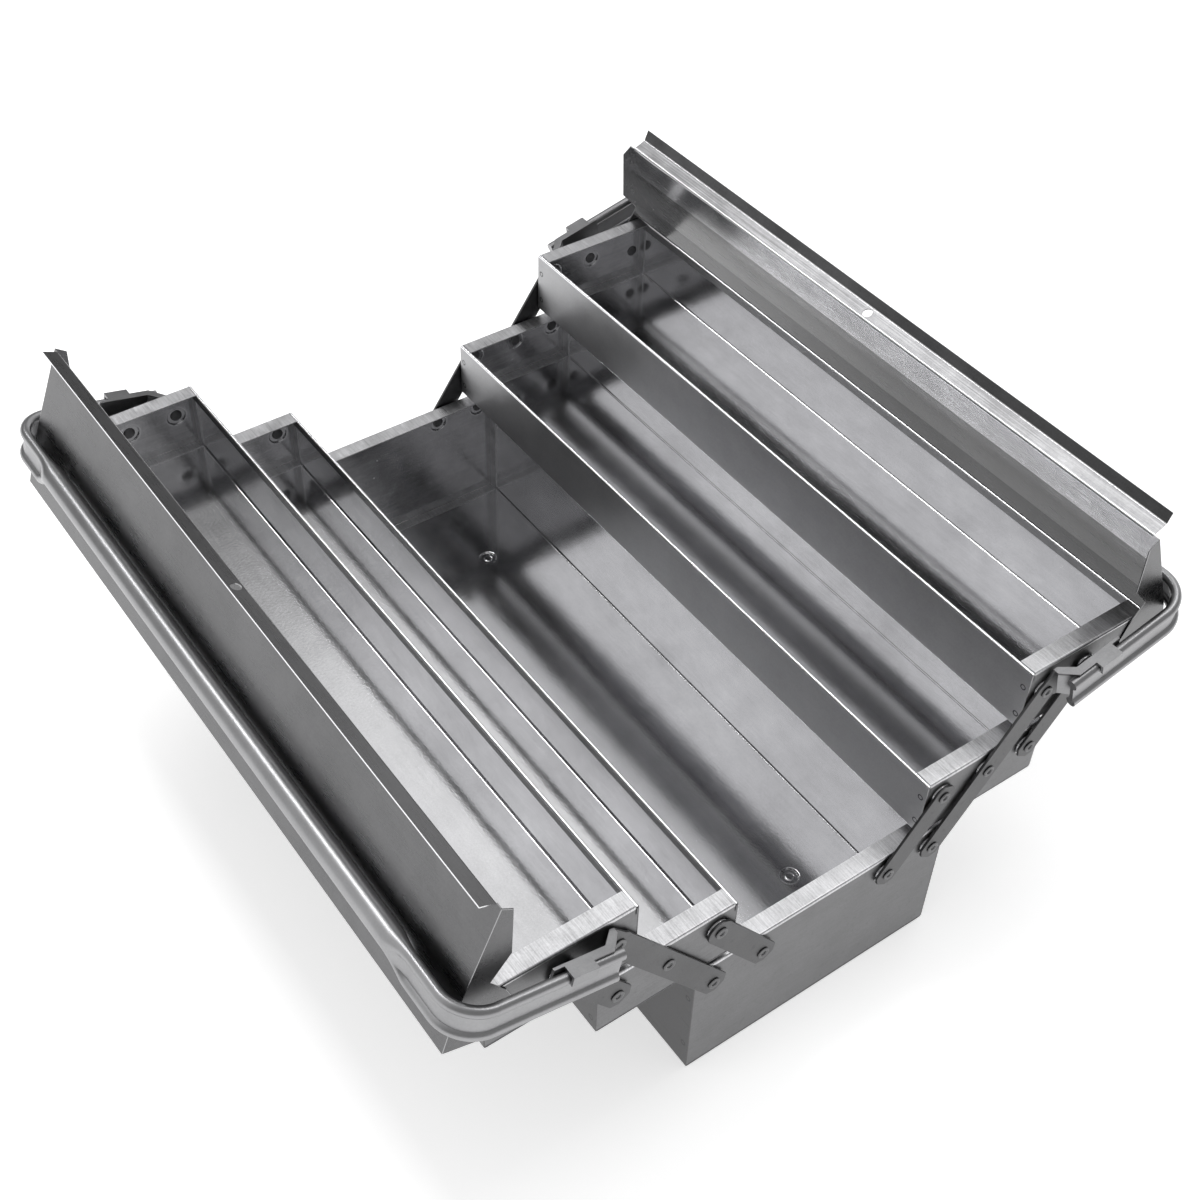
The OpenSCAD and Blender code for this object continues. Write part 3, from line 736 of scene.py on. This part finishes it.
def at_both_ends(spots, x, sides):
    """Places at both ends of the box for rear spots, mirrored to the front where asked."""
    out = []
    for side in sides:
        for y, z in spots:
            out += [((x, side * y, z), RIGHT), ((-x, side * y, z), LEFT)]
    return out


def on_clip(face):
    """The folded clip lies along the handle's leg, past the upper rivet."""
    middle = face.calc_center_median() / MM
    out, up = abs(middle.y) - LONG_2[0], middle.z - LONG_2[1]
    return 1 if out * math.cos(LEG_TILT) + up * math.sin(LEG_TILT) > CLIP_FROM else 0


def softened(node, body, slot, materials, choose=None):
    """A copy of a plain solid with its sharp edges eased."""
    bm = bmesh.new()
    bm.from_mesh(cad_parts[node].data)
    bmesh.ops.remove_doubles(bm, verts=bm.verts, dist=1e-6)
    bmesh.ops.dissolve_limit(bm, angle_limit=math.radians(1.0), verts=bm.verts, edges=bm.edges)
    corner = math.radians(32)
    sharp = [e for e in bm.edges if len(e.link_faces) == 2 and e.calc_face_angle(0.0) > corner]
    ease_edges(bm, sharp, LINK_EASE * MM, 2)
    small, narrow = 6e-6, 2e-3
    for face in bm.faces:
        strip = len(face.verts) == 4 and min(e.calc_length() for e in face.edges) < narrow
        face.smooth = strip or face.calc_area() < small
        if choose:
            face.material_index = choose(face)
    for layer in list(bm.loops.layers.uv):
        bm.loops.layers.uv.remove(layer)
    settle(piece_from(bm, node + "_eased", materials, scale=1.0, clean=False), body, slot, node)


def leg_section(roundness):
    """Section of the handle tube as (across, up), from two beads and a web to a full round."""
    bead, half, web = BEAD_D / 2, BEAD_PITCH / 2, WEB_T / 2
    neck = math.pi - math.asin(web / bead)
    wide, out = math.radians(78), []
    for sign in (1, -1):
        for k in range(BEAD_STEPS + 1):
            share = 1 - 2 * k / BEAD_STEPS
            swing, turn = neck * share, wide * share
            flat = (sign * bead * math.sin(swing), sign * (half + bead * math.cos(swing)))
            full = (sign * GRIP_D / 2 * math.sin(turn), sign * GRIP_D / 2 * math.cos(turn))
            out.append((flat, full))
        for k in range(1, WEB_STEPS):
            share = k / WEB_STEPS
            level = sign * (half + bead * math.cos(neck)) * (1 - 2 * share)
            turn = math.radians(90) + (math.radians(90) - wide) * (2 * share - 1)
            full = (-sign * GRIP_D / 2 * math.sin(turn), sign * GRIP_D / 2 * math.cos(turn))
            out.append(((-sign * web, level), full))
    return [(f[0] + (r[0] - f[0]) * roundness, f[1] + (r[1] - f[1]) * roundness) for f, r in out]


def handle_stations():
    """Stations along the handle as (x, reach, heading, roundness), from one leg to the other."""
    leg_x = END_X + LEG_OUT
    flat_end = leg_x - CORNER_R - FLAT_RUN
    straight = GRIP_REACH - CORNER_R
    quarter = math.pi / 2
    stations = []
    for share in (0, 0.02, 0.5, 1):
        stations.append((leg_x, LEG_START + (straight - LEG_START) * share, 0.0, 0.0))
    for k in range(1, CORNER_STEPS + 1):
        a = quarter * k / CORNER_STEPS
        x = leg_x - CORNER_R + CORNER_R * math.cos(a)
        stations.append((x, straight + CORNER_R * math.sin(a), a, 0.0))
    stations.append((flat_end, GRIP_REACH, quarter, 0.0))
    for k in range(1, FLARE_STEPS + 1):
        share = k / FLARE_STEPS
        ease = share * share * (3 - 2 * share)
        stations.append((flat_end - FLARE_LEN * share, GRIP_REACH, quarter, ease))
    for x in (150.0, 75.0, 0.0):
        stations.append((x, GRIP_REACH, quarter, 1.0))
    return stations + [(-x, s, math.pi - a, t) for x, s, a, t in stations[-2::-1]]


def handle(name, body, side):
    """Bent tube: round grip, flared flat at both corners, and legs with two beads."""
    bm = bmesh.new()
    rings = []
    for x, s, a, t in handle_stations():
        ring = []
        for across, up in leg_section(t):
            level = LEG_RISE + GRIP_UP * t + up
            px, ps = x + across * math.cos(a), s + across * math.sin(a)
            y = LONG_2[0] + ps * math.cos(LEG_TILT) - level * math.sin(LEG_TILT)
            z = LONG_2[1] + ps * math.sin(LEG_TILT) + level * math.cos(LEG_TILT)
            ring.append(bm.verts.new((px, side * y, z)))
        rings.append(ring)
    count = len(rings[0])
    for one, two in zip(rings, rings[1:]):
        for k in range(count):
            n = (k + 1) % count
            bm.faces.new((one[k], one[n], two[n], two[k])).smooth = True
    for ring in (rings[0], rings[-1]):
        bm.faces.new(ring)
    settle(piece_from(bm, name + "_tube", [handle_tube]), body, "handles", name)


# Base and trays.
feet = [(sx * FOOT_PITCH_X / 2, sy * FOOT_PITCH_Y / 2) for sx in (-1, 1) for sy in (-1, 1)]
# The base's outer faces take the front's painted shade.
tub("base_tub", "base", BASE_ROOM, front_outside_painted_shade, feet)
base_spots = [LONG_0, INNER_0, (-LONG_0[0], LONG_0[1]), (-INNER_0[0], INNER_0[1])]
for word, end in ENDS:
    end_plate("base_end_" + word, "base", BASE_ROOM, base_spots, end)
for side_word, side in SIDES:
    for level, room, spots in trays(side):
        body = level + "_tray_" + side_word
        # Outer faces: the painted lighter tone at the rear, the painted shade at the front.
        tub(body, body, room, rear_outside_painted_light if side > 0 else front_outside_painted_shade)
        bossed = [(side * y, z) for y, z in spots]
        for word, end in ENDS:
            end_plate("%s_%s_end_%s" % (level, side_word, word), body, room, bossed, end)

# Pressings and rivets, each drawn once and set out in rows.
boss_x, rivet_x, lid_rivet_x = END_X + BOSS_H - SHEET / 2, END_X + BOSS_H - SHEET, END_X - SHEET
boss_wall, boss_back = BOSS_D / 2 - SHEET / 2, END_X - SHEET / 2
boss_line = bent_line(
    [(boss_back, PRESSING_R), (boss_back, boss_wall), (boss_x, boss_wall), (boss_x, HOLE_R)],
    [BOSS_BEND, BOSS_BEND], 5, 0.15,
)
boss = pressing_mesh("boss_pattern", [Vector((p.x - boss_x, p.y)) for p in boss_line])
foot_wall = FOOT_D / 2 - SHEET / 2
floor_mid, foot_mid = FOOT_H + SHEET / 2, SHEET / 2
foot_line = bent_line(
    [
        (-floor_mid, PRESSING_R), (-floor_mid, foot_wall + FOOT_TAPER), (-foot_mid, foot_wall - FOOT_TAPER),
        (-foot_mid, PIP_OUTER_R), (-foot_mid - PIP_H, PIP_INNER_R), (-foot_mid - PIP_H, PIP_CENTRE_R),
    ],
    [FOOT_BEND, FOOT_BEND, PIP_BEND, PIP_BEND], 5, 0.15,
)
foot = pressing_mesh("foot_pattern", foot_line)
link_rivet = rivet_mesh("link_rivet_pattern", rivet_x, HEAD_X)
lid_rivet = rivet_mesh("lid_rivet_pattern", lid_rivet_x, LID_HEAD_X)


def set_row(stem, body, row, sides, *nodes):
    """Bosses with their rivets at both ends of the box."""
    bosses = set_out(stem + "_bosses", boss, at_both_ends(row, boss_x, sides), PRESSED)
    settle(bosses, body, "end_plates")
    spots = at_both_ends(row, rivet_x, sides)
    rivets = set_out(stem + "_rivet_set", link_rivet, spots, [rivet_steel], ANY_TURN)
    settle(rivets, body, "rivets", *nodes)


set_row("base", "base", [LONG_0, INNER_0], (1, -1), "base_rivets")
settle(set_out("pressed_feet", foot, [((x, y, 0.0), DOWN) for x, y in feet], PRESSED), "base", "tubs")
for side_word, side in SIDES:
    for level, _, row in trays(side):
        stem = level + "_" + side_word
        set_row(stem, level + "_tray_" + side_word, row, (side,), stem + "_rivets")
    spots = at_both_ends([LID_AT], lid_rivet_x, (side,))
    made = set_out("lid_rivet_set_" + side_word, lid_rivet, spots, [rivet_steel], ANY_TURN)
    settle(made, "upper_tray_" + side_word, "rivets")

# Spot welds near the ends of the tubs' long walls.
bm = bmesh.new()
turned(bm, WELD_PROFILE, WELD_STEPS)
weld = piece_from(bm, "weld_pattern", [weld_mark])


def weld_rows(name, body, room):
    """Two welds at each end of both long walls."""
    y0, width, z0, height = room
    places = []
    for x in (WELD_IN - END_X, END_X - WELD_IN):
        for level in WELD_LEVELS:
            z = z0 + level * height
            places += [((x, y0 + width, z), REARWARD), ((x, y0, z), FORWARD)]
    settle(set_out(name + "_welds", weld, places, [weld_mark], ANY_TURN), body, "tubs")


weld_rows("base_tub", "base", BASE_ROOM)
for side_word, side in SIDES:
    for level, room, _ in trays(side):
        weld_rows(level + "_tray_" + side_word, level + "_tray_" + side_word, room)
for pattern in (boss, foot, link_rivet, lid_rivet, weld):
    bpy.data.objects.remove(pattern)

# Lids, links and handles.
for side_word, side in SIDES:
    lid("lid_" + side_word, "lid_" + side_word, side, side > 0)
    for word, _ in ENDS:
        tail = "_%s_%s" % (side_word, word)
        softened("long_link" + tail, "linkage_" + side_word, "links", [link_strip, clip_painted_light], on_clip)
        for level in ("inner_link", "outer_link"):
            softened(level + tail, level + tail, "links", [link_strip])
    handle("handle_" + side_word, "linkage_" + side_word, side)


# Studio, in metres: a white floor, a graded sky, soft lamps and the camera.
FLOOR_HALF, FLOOR_DROP, FLOOR_GREY, FLOOR_GLOW = 12.0, 0.0004, 0.9, 0.55


def world_light():
    """A sky that brightens from right to left and dims at the far left, and that the camera sees as white."""
    world = bpy.data.worlds.new("studio")
    bpy.context.scene.world = world
    world.use_nodes = True
    g = Graph(world.node_tree)
    direction = g.node("ShaderNodeTexCoord", {}, {}, "Generated")
    x = g.node("ShaderNodeSeparateXYZ", {}, {0: direction})
    sky = x.over(0.45, -0.45, 0.40, 1.0, "SMOOTHSTEP") * x.over(-0.605, -0.70, 1.0, 0.25)
    seen = g.node("ShaderNodeLightPath", {}, {}, "Is Camera Ray")
    shown = g.node("ShaderNodeMix", {}, {"Factor": seen, "A": sky, "B": 1.0})
    g.fill(g.tree.nodes["Background"], {"Strength": shown, "Color": (1, 1, 1, 1)})


def white_floor():
    """A floor that looks white, also in reflections, and keeps the shadow of the box."""
    paint = bpy.data.materials.new("floor_white")
    paint.use_nodes = True
    g = Graph(paint.node_tree)
    g.tree.nodes.remove(g.tree.nodes["Principled BSDF"])
    rays = g.readings("ShaderNodeLightPath", "Is Camera Ray", "Is Glossy Ray", "Is Transmission Ray")
    seen = rays[0].highest(rays[1]).highest(rays[2])
    diffuse = g.node("ShaderNodeBsdfDiffuse", {}, {"Color": (FLOOR_GREY, FLOOR_GREY, FLOOR_GREY, 1)})
    glow = g.node("ShaderNodeEmission", {}, {"Strength": seen * FLOOR_GLOW})
    both = g.node("ShaderNodeAddShader", {}, {0: diffuse, 1: glow})
    g.fill(g.tree.nodes["Material Output"], {"Surface": both})
    bm = bmesh.new()
    bmesh.ops.create_grid(bm, x_segments=1, y_segments=1, size=FLOOR_HALF / MM)
    floor = piece_from(bm, "floor", [paint])
    floor.data.transform(Matrix.Translation((0, 0, -FLOOR_DROP)))


def lamp(name, place, target, size, radiance):
    """A soft box of a given length, width and brightness, aimed at a point."""
    data = bpy.data.lights.new(name, "AREA")
    data.shape = "RECTANGLE"
    data.size, data.size_y = size
    data.energy = radiance * math.pi * size[0] * size[1]
    obj = bpy.data.objects.new(name, data)
    bpy.context.scene.collection.objects.link(obj)
    obj.location = place
    obj.rotation_euler = (Vector(target) - Vector(place)).to_track_quat("-Z", "Y").to_euler()


def photo_camera():
    """The camera that was fitted to the photograph."""
    focal_px, photo_px, sensor = 1733.57, 1200, 36.0
    lens = bpy.data.cameras.new("photo_view")
    lens.sensor_fit = "HORIZONTAL"
    lens.sensor_width = sensor
    lens.lens = focal_px * sensor / photo_px
    lens.clip_end = 50
    camera = bpy.data.objects.new("photo_view", lens)
    bpy.context.scene.collection.objects.link(camera)
    right = Vector((0.579649, 0.814441, 0.026343))
    down = Vector((0.586919, -0.394857, -0.706834))
    forward = Vector((-0.565273, 0.425176, -0.706889))
    pose = Matrix((right, -down, -forward)).transposed().to_4x4()
    pose.translation = Vector((0.67506, -0.48842, 0.97127))
    camera.matrix_world = pose
    bpy.context.scene.camera = camera


world_light()
white_floor()
lamp("long_box", (-1.25, -0.25, 1.9), (-1.25, -0.25, 0.0), (1.9, 0.25), 10.0)
lamp("rear_box", (0.1, 1.0, 2.0), (0, 0, 0.1), (0.7, 0.7), 3.0)
photo_camera()
bpy.context.scene.view_settings.view_transform = "Standard"
